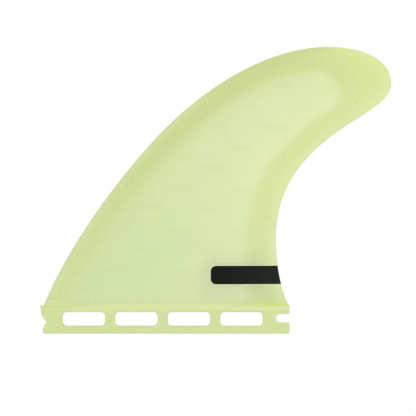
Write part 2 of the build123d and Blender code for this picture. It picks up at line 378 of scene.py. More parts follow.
@dataclass(frozen=True)
class Foil:
    """Thickness of the blade: flat inside, convex outside, thickest ahead of the middle of the chord."""

    root_thickness: float = 6.8 * MM
    tip_thickness: float = 1.5 * MM
    fall_power: float = 2.0
    thickest_share: float = 0.38
    lead_fullness: float = 2.4
    trail_power: float = 1.9
    trailing_edge: float = 0.9 * MM
    nose_root: float = 0.7 * MM
    nose_tip: float = 0.35 * MM
    rear_round: float = 0.4 * MM
    edge_round_share: float = 0.75
    least_round: float = 0.0001 * MM
    inside_shoulder: float = 0.1 * MM

    @property
    def inside(self) -> float:
        """y of the flat inside face."""
        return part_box("fin_laminate")[1].y - self.inside_shoulder

    def thickness(self, share: np.ndarray, up: np.ndarray) -> np.ndarray:
        """Thickness at a share of the chord.

        Formula: ahead of the thickest point a superellipse from the nose, behind it a power curve that
        falls to the trailing edge; the greatest thickness falls with the square of the height.

        Args:
            share: place along the chord, 0 at the leading edge and 1 at the trailing edge.
            up: height as a share of the blade's depth.

        Returns:
            The thickness at each place.
        """
        full = self.root_thickness + (self.tip_thickness - self.root_thickness) * up**self.fall_power
        nose = self.nose(up)
        ahead = np.clip(1.0 - share / self.thickest_share, 0.0, 1.0)
        behind = np.clip((share - self.thickest_share) / (1.0 - self.thickest_share), 0.0, 1.0)
        front = nose + (full - nose) * np.sqrt(1.0 - ahead**self.lead_fullness)
        rear = full - (full - self.trailing_edge) * behind**self.trail_power
        return np.where(share < self.thickest_share, front, rear)

    def nose(self, up: np.ndarray) -> np.ndarray:
        """Radius that rounds the leading edge on the inside face, which shrinks evenly with height."""
        return self.nose_root + (self.nose_tip - self.nose_root) * up

    def faces(self, share: np.ndarray, up: np.ndarray, edge: np.ndarray) -> tuple[np.ndarray, np.ndarray]:
        """Where the outside and inside faces lie, with the blade's edges rounded.

        Formula: near the outline each face draws back along a quarter circle of the distance from the
        outline; the inside circle has the nose radius, and the outside one a share of what is left.

        Args:
            share: place along the chord.
            up: height as a share of the blade's depth.
            edge: distance from the outline.

        Returns:
            y of the outside face and y of the inside face.
        """
        thick = self.thickness(share, up)
        nose = self.nose(up)
        round_in = nose + (self.rear_round - nose) * smooth_step(0.0, 1.0, share)
        round_out = self.edge_round_share * np.maximum(thick - round_in, self.least_round)
        outside = self.inside - thick + quarter_circle(edge, round_out)
        inside = self.inside - quarter_circle(edge, round_in)
        return outside, inside


@dataclass
class Shell:
    """Points, faces and named values of one closed surface."""

    points: np.ndarray
    faces: list[list[int]]
    smooth: np.ndarray
    values: dict[str, np.ndarray]


def joined(shells: list[Shell]) -> Shell:
    """Several shells as one, with their point numbers carried on.

    Args:
        shells: the shells, whose named values have the same names.

    Returns:
        One shell that holds them all.
    """
    starts = np.cumsum([0] + [len(shell.points) for shell in shells[:-1]])
    faces = []
    for start, shell in zip(starts, shells):
        faces += [[start + number for number in face] for face in shell.faces]
    names = shells[0].values
    return Shell(
        points=np.concatenate([shell.points for shell in shells]),
        faces=faces,
        smooth=np.concatenate([shell.smooth for shell in shells]),
        values={name: np.concatenate([shell.values[name] for shell in shells]) for name in names},
    )


def add_object(name: str, shell: Shell, merge: float = 0.0) -> bpy.types.Object:
    """Makes a mesh object from a shell, with its faces pointing outwards.

    Args:
        name: name of the object and its mesh.
        shell: what it is made of.
        merge: points nearer to each other than this become one.

    Returns:
        The object, at the origin.
    """
    mesh = bpy.data.meshes.new(name)
    mesh.from_pydata(shell.points.tolist(), [], shell.faces)
    mesh.polygons.foreach_set("use_smooth", shell.smooth.astype(bool))
    for label, values in shell.values.items():
        attribute = mesh.attributes.new(label, "FLOAT", "POINT")
        attribute.data.foreach_set("value", values.astype(np.float32))
    draft = bmesh.new()
    draft.from_mesh(mesh)
    if merge:
        bmesh.ops.remove_doubles(draft, verts=draft.verts, dist=merge)
    bmesh.ops.recalc_face_normals(draft, faces=draft.faces)
    draft.to_mesh(mesh)
    draft.free()
    mesh.update()
    thing = bpy.data.objects.new(name, mesh)
    bpy.context.scene.collection.objects.link(thing)
    return thing


@dataclass(frozen=True)
class Blade:
    """The foiled blade, as level sections joined into one closed skin."""

    outline: BladeOutline = BladeOutline()
    core: CoreOutline = CoreOutline()
    foil: Foil = Foil()
    rows: int = 250
    columns: int = 104
    sunk: float = 1.5 * MM
    root_fillet: float = 0.35 * MM
    fillet_rows: int = 6
    top_trim: float = 0.006 * MM
    end_power: int = 9

    def heights(self) -> np.ndarray:
        """Heights of the sections.

        Formula: they crowd together at the root fillet as a cosine, and towards the top as a sine.

        Returns:
            z of each section, from below the seat plane to the top.
        """
        turn = np.linspace(0.0, math.pi / 2, self.fillet_rows)
        fillet = self.root_fillet * (1.0 - np.cos(turn))
        top = self.outline.depth - self.top_trim
        start = math.asin(self.root_fillet / top)
        rise = top * np.sin(np.linspace(start, math.pi / 2, self.rows))
        return np.concatenate([[-self.sunk], fillet, rise[1:]])

    def shell(self) -> Shell:
        """The blade's skin.

        Formula: a row is one level section, from the trailing edge over the outside face to the leading
        edge and back along the inside face; places along the chord crowd towards both edges as a cosine.

        Returns:
            The closed skin, with its depth into the core, distance from the edges and share of the way back.
        """
        leading, trailing = self.outline.leading(), self.outline.trailing()
        height = self.heights()[:, None]
        above = np.maximum(height, 0.0)
        lead = np.interp(above, leading[:, 1], leading[:, 0])
        trail = np.interp(above, trailing[:, 1], trailing[:, 0])
        share = (1.0 - np.cos(np.linspace(0.0, math.pi, self.columns + 1)))[None, :] / 2.0
        x = lead + (trail - lead) * share
        z = np.broadcast_to(height, x.shape)
        flat = np.stack([x, np.maximum(z, 0.0)], axis=-1).reshape(-1, 2)
        ahead = distance_to_chain(flat, leading).reshape(x.shape)
        behind = distance_to_chain(flat, trailing).reshape(x.shape)
        edge = np.minimum(ahead, behind)
        edge[:, 0] = edge[:, -1] = 0.0
        rear = ahead / (ahead + behind + self.top_trim)
        inner = self.core.depth_inside(flat, self.outline).reshape(x.shape)
        up = np.broadcast_to(above / self.outline.depth, x.shape)
        outside, inside = self.foil.faces(np.broadcast_to(share, x.shape), up, edge)
        outside, x = self.with_fillet(outside, x, height, np.broadcast_to(share, x.shape))

        def round_section(out: np.ndarray, back: np.ndarray) -> np.ndarray:
            """One row per section: the outside values from the trailing edge, then the inside ones."""
            return np.concatenate([out[:, ::-1], back[:, 1:]], axis=1)

        points = np.stack(
            [round_section(x, x), round_section(outside, inside), round_section(z, z)], axis=-1
        ).reshape(-1, 3)
        rows, count = len(height), 2 * self.columns + 1
        faces = ring_faces(rows, count, closed=True).tolist()
        bottom = list(range(count))[::-1]
        top = list(range((rows - 1) * count, rows * count))
        faces += [bottom, top]
        return Shell(
            points=points,
            faces=faces,
            smooth=np.ones(len(faces)),
            values={
                "core_depth": round_section(inner, inner).ravel(),
                "edge_depth": round_section(edge, edge).ravel(),
                "rear_share": round_section(rear, rear).ravel(),
            },
        )

    def with_fillet(
        self, outside: np.ndarray, x: np.ndarray, height: np.ndarray, share: np.ndarray
    ) -> tuple[np.ndarray, np.ndarray]:
        """Spreads the lowest sections into the ledge on top of the tab.

        Formula: the spread is a quarter circle of the height, and it goes to the outside face and, near
        either end of the chord, lengthwise too.

        Args:
            outside: y of the outside face.
            x: x of each place.
            height: z of each section.
            share: place along the chord.

        Returns:
            The outside face and the places, spread.
        """
        spread = quarter_circle(np.maximum(height, 0.0), np.full_like(height, self.root_fillet))
        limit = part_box("fin_laminate")[0].y + self.root_fillet
        fuller = np.maximum(outside - spread, np.minimum(outside, limit))
        ends = (2.0 * share - 1.0) ** self.end_power
        room = np.where(ends < 0.0, self.root_fillet, self.outline.rear_shoulder / 2)
        return fuller, x + np.minimum(spread, room) * ends


@dataclass(frozen=True)
class Tab:
    """The base tab: a slotted bar with four windows and a full-width land along its top."""

    land_height: float = 2.1 * MM
    land_step: float = 0.2 * MM
    land_slope: float = 0.4 * MM
    draft: float = 0.1 * MM
    bottom_round: float = 0.6 * MM
    rim_round: float = 0.25 * MM
    bottom_band: float = 0.9 * MM
    lip_depth: float = 3.9 * MM
    lip_slope: float = 0.3 * MM
    notch_depth: float = 2.7 * MM
    notch_drop: float = 7.5 * MM
    notch_radius: float = 0.5 * MM
    toe_setback: float = 1.1 * MM
    toe_drop: float = 10.1 * MM
    toe_corner: float = 0.9 * MM
    slot_length: float = 6.2 * MM
    slot_mouth: float = 4.4 * MM
    slot_end: float = 4.1 * MM
    slot_end_radius: float = 1.9 * MM
    slot_drop: float = 5.8 * MM
    rear_corner: float = 0.9 * MM
    slot_lip_round: float = 0.4 * MM
    window_count: int = 4
    window_pitch: float = 24.2 * MM
    window_length: float = 19.5 * MM
    window_height: float = 6.2 * MM
    window_radius: float = 1.8 * MM
    window_drop: float = 6.1 * MM
    window_shift: float = -1.15 * MM
    window_draft_degrees: float = 3.0
    arc_steps: int = 10
    rim_steps: int = 5

    @property
    def front(self) -> float:
        """x of the tab's front end."""
        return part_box("fin_laminate")[0].x

    @property
    def depth(self) -> float:
        """How far the tab reaches below the seat plane."""
        return -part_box("fin_laminate")[0].z

    @property
    def half_thickness(self) -> float:
        """Half of the land's thickness."""
        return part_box("fin_laminate")[1].y

    def half(self, z: np.ndarray) -> np.ndarray:
        """Half the tab's thickness: the land, the slope under it, then the drafted side.

        Args:
            z: the heights.

        Returns:
            The half thickness at each height.
        """
        side = self.half_thickness - self.land_step
        foot = -self.depth + self.bottom_round
        knots = [-self.depth, foot, -self.land_height - self.land_slope, -self.land_height, 0.0]
        below = side - self.draft
        return np.interp(z, knots, [below, below, side, self.half_thickness, self.half_thickness])

    def rounded_loop(self, corners: list[tuple[float, float, float]]) -> np.ndarray:
        """A closed loop of straight runs with rounded corners.

        Formula: at a corner the arc touches both runs at the radius times the tangent of half the turn,
        and its points are spaced evenly in angle.

        Args:
            corners: x, z and radius of each corner, in order; a radius of 0 keeps the corner sharp.

        Returns:
            Rows of x and z, without the first point repeated.
        """
        places = np.array([corner[:2] for corner in corners])
        parts = []
        for number, (x, z, radius) in enumerate(corners):
            here = np.array([x, z])
            if radius == 0.0:
                parts.append(here[None])
                continue
            before = places[number - 1] - here
            after = places[(number + 1) % len(places)] - here
            before, after = before / np.linalg.norm(before), after / np.linalg.norm(after)
            half_angle = math.acos(float(np.clip(before @ after, -1.0, 1.0))) / 2.0
            middle = (before + after) / np.linalg.norm(before + after)
            centre = here + middle * radius / math.sin(half_angle)
            start = here + before * radius / math.tan(half_angle) - centre
            turn = before[0] * after[1] - before[1] * after[0]
            sweep = math.copysign(math.pi - 2.0 * half_angle, -turn)
            angles = np.linspace(0.0, sweep, self.arc_steps)
            cosine, sine = np.cos(angles), np.sin(angles)
            across = start[0] * cosine - start[1] * sine
            up = start[0] * sine + start[1] * cosine
            parts.append(centre + np.stack([across, up], axis=-1))
        return np.concatenate(parts)

    def side_loop(self) -> np.ndarray:
        """Side view of the tab without its windows, from the top front corner down and round.

        Returns:
            Rows of x and z, without the first point repeated.
        """
        front, rear, foot = self.front, -self.front, -self.depth
        land, slope = -self.land_height, -self.land_height - self.land_slope

        def lip_front(z: float) -> float:
            """x of the front lip's sloping face at a height."""
            return front - self.lip_slope * z / self.lip_depth

        return self.rounded_loop(
            [
                (front, 0.0, 0.0),
                (lip_front(land), land, 0.0),
                (lip_front(slope), slope, 0.0),
                (front + self.lip_slope, -self.lip_depth, self.rim_round),
                (front + self.notch_depth, -self.notch_drop, self.notch_radius),
                (front + self.toe_setback, -self.toe_drop, self.rim_round),
                (front + self.toe_setback, foot, self.toe_corner),
                (rear, foot, self.rear_corner),
                (rear, -self.slot_drop - self.slot_mouth / 2, self.slot_lip_round),
                (rear - self.slot_length, -self.slot_drop - self.slot_end / 2, self.slot_end_radius),
                (rear - self.slot_length, -self.slot_drop + self.slot_end / 2, self.slot_end_radius),
                (rear, -self.slot_drop + self.slot_mouth / 2, self.slot_lip_round),
                (rear, slope, 0.0),
                (rear, land, 0.0),
                (rear, 0.0, 0.0),
            ]
        )

    def window_loop(self, middle: float, spread: float) -> np.ndarray:
        """One window seen from the side, spread by a distance all round.

        Args:
            middle: x of the window's middle.
            spread: how much further out than the window's size at the middle of the tab.

        Returns:
            Rows of x and z, without the first point repeated.
        """
        across, up = self.window_length / 2 + spread, self.window_height / 2 + spread
        radius = self.window_radius + spread
        centre = -self.window_drop
        return self.rounded_loop(
            [
                (middle - across, centre + up, radius),
                (middle + across, centre + up, radius),
                (middle + across, centre - up, radius),
                (middle - across, centre - up, radius),
            ]
        )

    @staticmethod
    def inward(loop: np.ndarray) -> np.ndarray:
        """Direction into the material at each point of an outline that runs with the material on its left.

        Formula: the square to each run, averaged over the two runs at the point and lengthened by one over
        the cosine of half the turn, so that offset runs stay parallel.

        Args:
            loop: rows of x and z.

        Returns:
            One direction for each point.
        """
        run = np.roll(loop, -1, axis=0) - loop
        run /= np.linalg.norm(run, axis=1)[:, None]
        square = np.stack([-run[:, 1], run[:, 0]], axis=-1)
        both = square + np.roll(square, 1, axis=0)
        both /= np.linalg.norm(both, axis=1)[:, None]
        return both / (both * square).sum(1)[:, None]

    def rim_profile(self) -> tuple[np.ndarray, np.ndarray]:
        """Side and angle of each point across the thickness, from the outside face to the inside one.

        Returns:
            -1 outside or 1 inside for each point, and its angle round the lip.
        """
        angle = np.linspace(0.0, math.pi / 2, self.rim_steps + 1)
        side = np.ones(len(angle))
        return np.concatenate([-side, side]), np.concatenate([angle[::-1], angle])

    def rim(self, loop: np.ndarray) -> np.ndarray:
        """The band round the tab's outline, with both its edges rounded.

        Formula: a point goes in from the outline by the radius less its cosine share, and lies out from
        the middle by the half thickness less the radius plus its sine share.

        Args:
            loop: the outline.

        Returns:
            Points by place round the outline and place across the thickness.
        """
        side, angle = self.rim_profile()
        low = smooth_step(self.bottom_band - self.depth, -self.depth, loop[:, 1])
        radius = self.rim_round + (self.bottom_round - self.rim_round) * low
        go_in = radius[:, None] * (1.0 - np.cos(angle))[None]
        flat = loop[:, None, :] + self.inward(loop)[:, None, :] * go_in[..., None]
        out = self.half(flat[..., 1]) - radius[:, None] * (1.0 - np.sin(angle))[None]
        return np.stack([flat[..., 0], side * out, flat[..., 1]], axis=-1)

    def window_wall(self, middle: float) -> np.ndarray:
        """The wall of one window, drafted both ways from the middle, with rounded lips.

        Formula: as for the rim, with the loop spread by the draft times the distance from the middle.

        Args:
            middle: x of the window's middle.

        Returns:
            Points by place across the thickness and place round the window.
        """
        side, angle = self.rim_profile()
        lean = math.tan(math.radians(self.window_draft_degrees))
        rings = []
        for sign, turn in zip(side, angle):
            straight = self.half_thickness - self.land_step - self.rim_round
            spread = lean * straight + self.rim_round * (1.0 - math.cos(turn))
            ring = self.window_loop(middle, spread)
            out = self.half(ring[:, 1]) - self.rim_round * (1.0 - math.sin(turn))
            rings.append(np.stack([ring[:, 0], sign * out, ring[:, 1]], axis=-1))
        waist = self.window_loop(middle, 0.0)
        centre = np.stack([waist[:, 0], np.zeros(len(waist)), waist[:, 1]], axis=-1)
        rings.insert(len(rings) // 2, centre)
        return np.array(rings)

    def window_middles(self) -> np.ndarray:
        """x of each window's middle, spaced evenly about the shifted middle of the tab."""
        number = np.arange(self.window_count) - (self.window_count - 1) / 2
        return self.window_shift + self.window_pitch * number

    @staticmethod
    def filled(loops: list[np.ndarray]) -> Shell:
        """A flat face inside the first loop and outside the others.

        Args:
            loops: rows of x, y and z for the outer loop, then for each hole.

        Returns:
            The face as triangles, without named values.
        """
        triangles = tessellate_polygon([[Vector(point) for point in loop] for loop in loops])
        faces = [list(triangle) for triangle in triangles]
        return Shell(np.concatenate(loops), faces, np.zeros(len(faces)), {})

    def side_faces(self, rim: np.ndarray, walls: list[np.ndarray]) -> list[Shell]:
        """Both sides of the tab, each in three flat parts: the land, the slope under it and the rest.

        Args:
            rim: the band round the outline.
            walls: the windows' walls.

        Returns:
            Six flat faces.
        """
        last = len(rim) - 1
        parts = []
        for edge in (0, -1):
            line = rim[:, edge]
            parts.append(self.filled([line[[0, 1, last - 1, last]]]))
            parts.append(self.filled([line[[1, 2, last - 2, last - 1]]]))
            holes = [wall[edge] for wall in walls]
            parts.append(self.filled([line[2 : last - 1], *holes]))
        return parts

    def shell(self) -> Shell:
        """The whole tab: its rim, the windows' walls and its flat faces.

        Returns:
            The closed tab, which counts as outside the core and far from the blade's edges.
        """
        rim = self.rim(self.side_loop())
        walls = [self.window_wall(middle) for middle in self.window_middles()]
        rows, count = rim.shape[:2]
        rim_faces = ring_faces(rows + 1, count, closed=False) % (rows * count)
        shells = [Shell(rim.reshape(-1, 3), rim_faces.tolist(), np.ones(len(rim_faces)), {})]
        for wall in walls:
            faces = ring_faces(wall.shape[0], wall.shape[1], closed=True)
            shells.append(Shell(wall.reshape(-1, 3), faces.tolist(), np.ones(len(faces)), {}))
        shells += self.side_faces(rim, walls)
        whole = joined(shells)
        far = np.full(len(whole.points), self.depth)
        rear = (whole.points[:, 0] / self.front - 1.0) / -2.0
        values = {"core_depth": -far, "edge_depth": far, "rear_share": rear}
        return Shell(whole.points, whole.faces, whole.smooth, values)


def tone(display: Colour) -> tuple[float, float, float, float]:
    """A display colour as the linear one that a shader takes, by the sRGB standard's curve.

    Args:
        display: red, green and blue, each from 0 to 255.

    Returns:
        Red, green, blue and full cover, each from 0 to 1.
    """
    shares = np.array(display) / 255.0
    linear = np.where(shares <= 0.04045, shares / 12.92, ((shares + 0.055) / 1.055) ** 2.4)
    return (*linear.tolist(), 1.0)


@dataclass(frozen=True)
class Fade:
    """How a result follows a value: start up to the low value, then to end at the high one.

    In between it follows a smooth step, or an even slope where it is straight.
    """

    low: float
    high: float
    start: float = 0.0
    end: float = 1.0
    straight: bool = False


def over_noise(start: float, end: float) -> Fade:
    """A fade over the span that nearly all of a noise pattern keeps to."""
    return Fade(NOISE_LOW, NOISE_HIGH, start, end)


@dataclass(frozen=True)
class Cloud:
    """A cloudy pattern, with about scale blots to the metre, carried to the results of a fade."""

    scale: float
    fade: Fade
    detail: float = 2.0


class Graph:
    """Short-hand for laying out the nodes of one material, which reads the object's own coordinates.

    A mix node holds its two colours in the inputs of colour_pair, and the blend in output colour_result.
    """

    colour_pair = slice(6, 8)
    colour_result = 2
    speckle_scale = 1500.0
    speckle_detail = 1.0

    def __init__(self, name: str) -> None:
        """Starts a material with its shader and its coordinates.

        Args:
            name: the material's name.
        """
        self.material = bpy.data.materials.new(name)
        self.material.use_nodes = True
        self.tree = self.material.node_tree
        self.shader = self.tree.nodes["Principled BSDF"]
        self.place = self.node("TexCoord").outputs["Object"]
        self.x, self.y, self.z = self.node("SeparateXYZ", self.place).outputs

    def feed(self, target: Socket, value: object) -> None:
        """Links a socket to an input, or sets the input to a plain value.

        Args:
            target: the input.
            value: the socket or the plain value; None leaves the input alone.
        """
        if isinstance(value, Socket):
            self.tree.links.new(value, target)
        elif value is not None:
            target.default_value = value

    def shade(self, name: str, value: object) -> None:
        """Feeds one of the shader's own inputs."""
        self.feed(self.shader.inputs[name], value)

    def node(self, kind: str, *values: object, **settings: object) -> bpy.types.Node:
        """Adds a node.

        Args:
            kind: the node's type, without the words that all types start with.
            values: what its first inputs get, in order.
            settings: its properties.

        Returns:
            The node.
        """
        made = self.tree.nodes.new("ShaderNode" + kind)
        for name, value in settings.items():
            setattr(made, name, value)
        for target, value in zip(made.inputs, values):
            self.feed(target, value)
        return made

    def math(self, operation: str, *values: object, clamp: bool = False) -> Socket:
        """Result of a sum on numbers, kept between 0 and 1 where clamp is set."""
        return self.node("Math", *values, operation=operation, use_clamp=clamp).outputs[0]

    def vector(self, operation: str, *values: object) -> Socket:
        """Result of a sum on vectors."""
        return self.node("VectorMath", *values, operation=operation).outputs[0]

    def times(self, *values: Socket) -> Socket:
        """Product of several numbers."""
        return functools.reduce(functools.partial(self.math, "MULTIPLY"), values)

    def between(self, share: Socket, first: Socket, second: Socket) -> Socket:
        """A number between two others."""
        return self.math("ADD", first, self.times(self.math("SUBTRACT", second, first), share))

    def away(self, value: Socket, middle: float) -> Socket:
        """How far a number lies from a middle one."""
        return self.math("ABSOLUTE", self.math("SUBTRACT", value, middle))

    def fade(self, value: Socket, fade: Fade) -> Socket:
        """The result of a fade.

        Args:
            value: what it follows.
            fade: how it follows that.

        Returns:
            The result's socket.
        """
        kind = "LINEAR" if fade.straight else "SMOOTHSTEP"
        ends = (fade.low, fade.high, fade.start, fade.end)
        return self.node("MapRange", value, *ends, interpolation_type=kind).outputs["Result"]

    def distance(self, place: Socket, point: tuple[float, float, float]) -> Socket:
        """How far a place lies from a point."""
        return self.node("VectorMath", place, point, operation="DISTANCE").outputs["Value"]

    def noise(self, scale: float, detail: float) -> bpy.types.Node:
        """A cloudy pattern.

        Args:
            scale: about how many blots it has to the metre.
            detail: how many times finer blots are added.

        Returns:
            The pattern's node.
        """
        made = self.node("TexNoise", self.place)
        made.inputs["Scale"].default_value = scale
        made.inputs["Detail"].default_value = detail
        return made

    def cloud(self, cloud: Cloud) -> Socket:
        """The results of a cloudy pattern."""
        return self.fade(self.noise(cloud.scale, cloud.detail).outputs["Fac"], cloud.fade)

    def tint(self, amount: Colour) -> Socket:
        """A fine speckle of shifts of colour, which span each channel's amount, half to either side."""
        noise = self.noise(self.speckle_scale, self.speckle_detail).outputs["Color"]
        return self.vector("MULTIPLY", self.vector("SUBTRACT", noise, (0.5, 0.5, 0.5)), amount)

    def mix(self, share: Socket, first: Socket | Colour, second: Socket | Colour) -> Socket:
        """Blends two colours.

        Args:
            share: how much of the second goes in.
            first: the colour under it, as a socket or a display colour.
            second: the colour over it, likewise.

        Returns:
            The colour's socket.
        """
        made = self.node("Mix", share, data_type="RGBA")
        for target, colour in zip(made.inputs[self.colour_pair], (first, second)):
            self.feed(target, colour if isinstance(colour, Socket) else tone(colour))
        return made.outputs[self.colour_result]

    def attribute(self, name: str) -> Socket:
        """One named value of the mesh."""
        return self.node("Attribute", attribute_name=name).outputs["Fac"]

    def bump(self, height: Socket, depth: float, strength: float) -> None:
        """Gives the shader a bump.

        Args:
            height: the pattern.
            depth: how deep it is.
            strength: its share of the full effect.
        """
        made = self.node("Bump")
        for name, value in (("Distance", depth), ("Strength", strength), ("Height", height)):
            self.feed(made.inputs[name], value)
        self.shade("Normal", made.outputs["Normal"])


@dataclass(frozen=True)
class HexCells:
    """The grid of hexagonal cells that shows through the laminate."""

    width: float = 19.15 * MM
    height: float = 19.45 * MM
    turn_degrees: float = -1.7
    origin: tuple[float, float, float] = (6.1 * MM, 0.0, 25.2 * MM)

    def edges(self, graph: Graph) -> tuple[Socket, Socket]:
        """Distances from the cell edges, as shares of the cell's height.

        Formula: the plane is scaled so that the cells are regular and one unit high, then wrapped to two
        staggered boxes. Of the two wrapped points the one with the smaller hexagon norm lies in its own
        cell; half a unit less its distance up, or less its distance square to the sloping edges, is left.

        Args:
            graph: the material to lay the nodes in.

        Returns:
            Distance from the level edges and from the sloping edges.
        """
        slope = math.sqrt(3.0) / 2.0
        regular = self.height / slope
        turn = (0.0, math.radians(self.turn_degrees), 0.0)
        scale = (regular / self.width / self.height, 1.0, 1.0 / self.height)
        moved = graph.vector("SUBTRACT", graph.place, self.origin)
        place = graph.node("Mapping", moved, None, turn, scale, vector_type="POINT").outputs["Vector"]
        flat = graph.vector("MULTIPLY", place, (1.0, 0.0, 1.0))
        box = (2.0 * slope, 1.0, 1.0)
        half_box = tuple(size / 2.0 for size in box)
        minus_half = tuple(-size for size in half_box)
        wrapped = []
        for shift in ((0.0, 0.0, 0.0), half_box):
            moved = graph.vector("ADD", flat, (shift[0], 0.0, shift[2]))
            cell = graph.vector("ABSOLUTE", graph.vector("WRAP", moved, half_box, minus_half))
            aside, _, up = graph.node("SeparateXYZ", cell).outputs
            sloping = graph.math("ADD", graph.times(aside, slope), graph.times(up, 0.5))
            wrapped.append((up, sloping, graph.math("MAXIMUM", up, sloping)))
        (up_a, slope_a, norm_a), (up_b, slope_b, norm_b) = wrapped
        own = graph.math("LESS_THAN", norm_a, norm_b)
        level = graph.math("SUBTRACT", 0.5, graph.between(own, up_b, up_a))
        sloping = graph.math("SUBTRACT", 0.5, graph.between(own, slope_b, slope_a))
        return level, sloping


@dataclass(frozen=True)
class Label:
    """The bare black bar on the outside face, cut off at the trailing edge."""

    blade: Blade = Blade()
    height: float = 8.5 * MM
    base: float = 9.85 * MM
    reach: float = 30.1 * MM
    corner: float = 2.5 * MM
    proud: float = 0.03 * MM
    thickness: float = 0.12 * MM
    edge_gap: float = 0.02 * MM
    rows: int = 41
    columns: int = 61

    def shell(self) -> Shell:
        """The label as a thin closed skin that follows the blade's outside face.

        Formula: a row runs level from the rounded front end to the trailing edge; the front end draws back
        along a quarter circle near the label's upper and lower edges.

        Returns:
            The closed skin.
        """
        outline, foil = self.blade.outline, self.blade.foil
        leading, trailing = outline.leading(), outline.trailing()
        up = (1.0 - np.cos(np.linspace(0.0, math.pi, self.rows)))[:, None] / 2.0
        z = self.base + self.height * up
        from_edge = np.minimum(z - self.base, self.base + self.height - z)
        start = outline.waist - self.reach + quarter_circle(from_edge, np.full_like(z, self.corner))
        end = np.interp(z, trailing[:, 1], trailing[:, 0]) - self.edge_gap
        across = (1.0 - np.cos(np.linspace(0.0, math.pi, self.columns)))[None, :] / 2.0
        x = start + (end - start) * across
        z = np.broadcast_to(z, x.shape)
        lead = np.interp(z, leading[:, 1], leading[:, 0])
        trail = np.interp(z, trailing[:, 1], trailing[:, 0])
        edge = distance_to_chain(np.stack([x, z], axis=-1).reshape(-1, 2), trailing).reshape(x.shape)
        outside, _ = foil.faces((x - lead) / (trail - lead), z / outline.depth, edge)
        front = np.stack([x, outside - self.proud, z], axis=-1).reshape(-1, 3)
        back = np.stack([x, outside + self.thickness, z], axis=-1).reshape(-1, 3)
        count = len(front)
        faces = ring_faces(self.rows, self.columns, closed=False)
        number = np.arange(count).reshape(self.rows, self.columns)
        border = np.concatenate([number[0, :-1], number[:-1, -1], number[-1, :0:-1], number[:0:-1, 0]])
        after = np.roll(border, -1)
        walls = np.stack([border, after, after + count, border + count], axis=-1)
        every = np.concatenate([faces, faces[:, ::-1] + count, walls])
        smooth = np.concatenate([np.ones(2 * len(faces)), np.zeros(len(walls))])
        return Shell(np.concatenate([front, back]), every.tolist(), smooth, {})


@dataclass(frozen=True)
class Grain:
    """Fine grain that makes a surface uneven in roughness and height."""

    scale: float
    detail: float
    roughness: Fade
    depth: float
    strength: float

    def over(self, graph: Graph) -> Socket:
        """Gives the shader its roughness and bump.

        Args:
            graph: the material's graph.

        Returns:
            The grain itself.
        """
        grain = graph.noise(self.scale, self.detail).outputs["Fac"]
        graph.shade("Roughness", graph.fade(grain, self.roughness))
        graph.bump(grain, self.depth, self.strength)
        return grain


class LaminateGraph(Graph):
    """The laminate's graph, which also reads what the moulding's mesh carries at each point."""

    def __init__(self, name: str, warp: Cloud, inside_level: float) -> None:
        """Starts the material.

        Args:
            name: the material's name.
            warp: how the core's border wanders.
            inside_level: y that parts the outside face from the inside one.
        """
        super().__init__(name)
        self.core = self.math("ADD", self.attribute("core_depth"), self.cloud(warp))
        self.edge = self.attribute("edge_depth")
        self.rear = self.attribute("rear_share")
        self.outside = self.math("LESS_THAN", self.y, inside_level)


class Layer:
    """One layer of the laminate's finish, which changes the colour under it."""

    def over(self, graph: LaminateGraph, colour: Socket) -> Socket:
        """Lays the layer over a colour.

        Args:
            graph: the laminate's graph.
            colour: the colour under it.

        Returns:
            The colour with it.
        """
        raise NotImplementedError


@dataclass(frozen=True)
class SolidRim:
    """The solid laminate round the core: a tone in front and one behind, low and high, and one at the tip.
    The darker front tones, darkest high up, are painted shade on the side turned from the light; the lighter
    rear and tip tones are painted light.
    """

    front: tuple[Colour, Colour] = ((210.5, 226.3, 156.5), (201.5, 214, 140))
    rear: tuple[Colour, Colour] = ((210.5, 223, 158), (218.3, 229.8, 158.5))
    tip: Colour = (218, 228.7, 151)
    front_rise: Fade = Fade(10.0 * MM, 115.0 * MM, straight=True)
    rear_rise: Fade = Fade(18.0 * MM, 58.0 * MM)
    tip_rise: Fade = Fade(82.0 * MM, 106.0 * MM)
    rearward: Fade = Fade(0.05, 0.95, straight=True)

    def colour(self, graph: LaminateGraph) -> Socket:
        """The rim's tones everywhere, for the layers to cover.

        Args:
            graph: the laminate's graph.

        Returns:
            The colour.
        """
        # painted shade in front and painted light behind and at the tip, over the laminate's own tint
        front = graph.mix(graph.fade(graph.z, self.front_rise), *self.front)
        rear = graph.mix(graph.fade(graph.z, self.rear_rise), *self.rear)
        rear = graph.mix(graph.fade(graph.z, self.tip_rise), rear, self.tip)
        return graph.mix(graph.fade(graph.rear, self.rearward), front, rear)


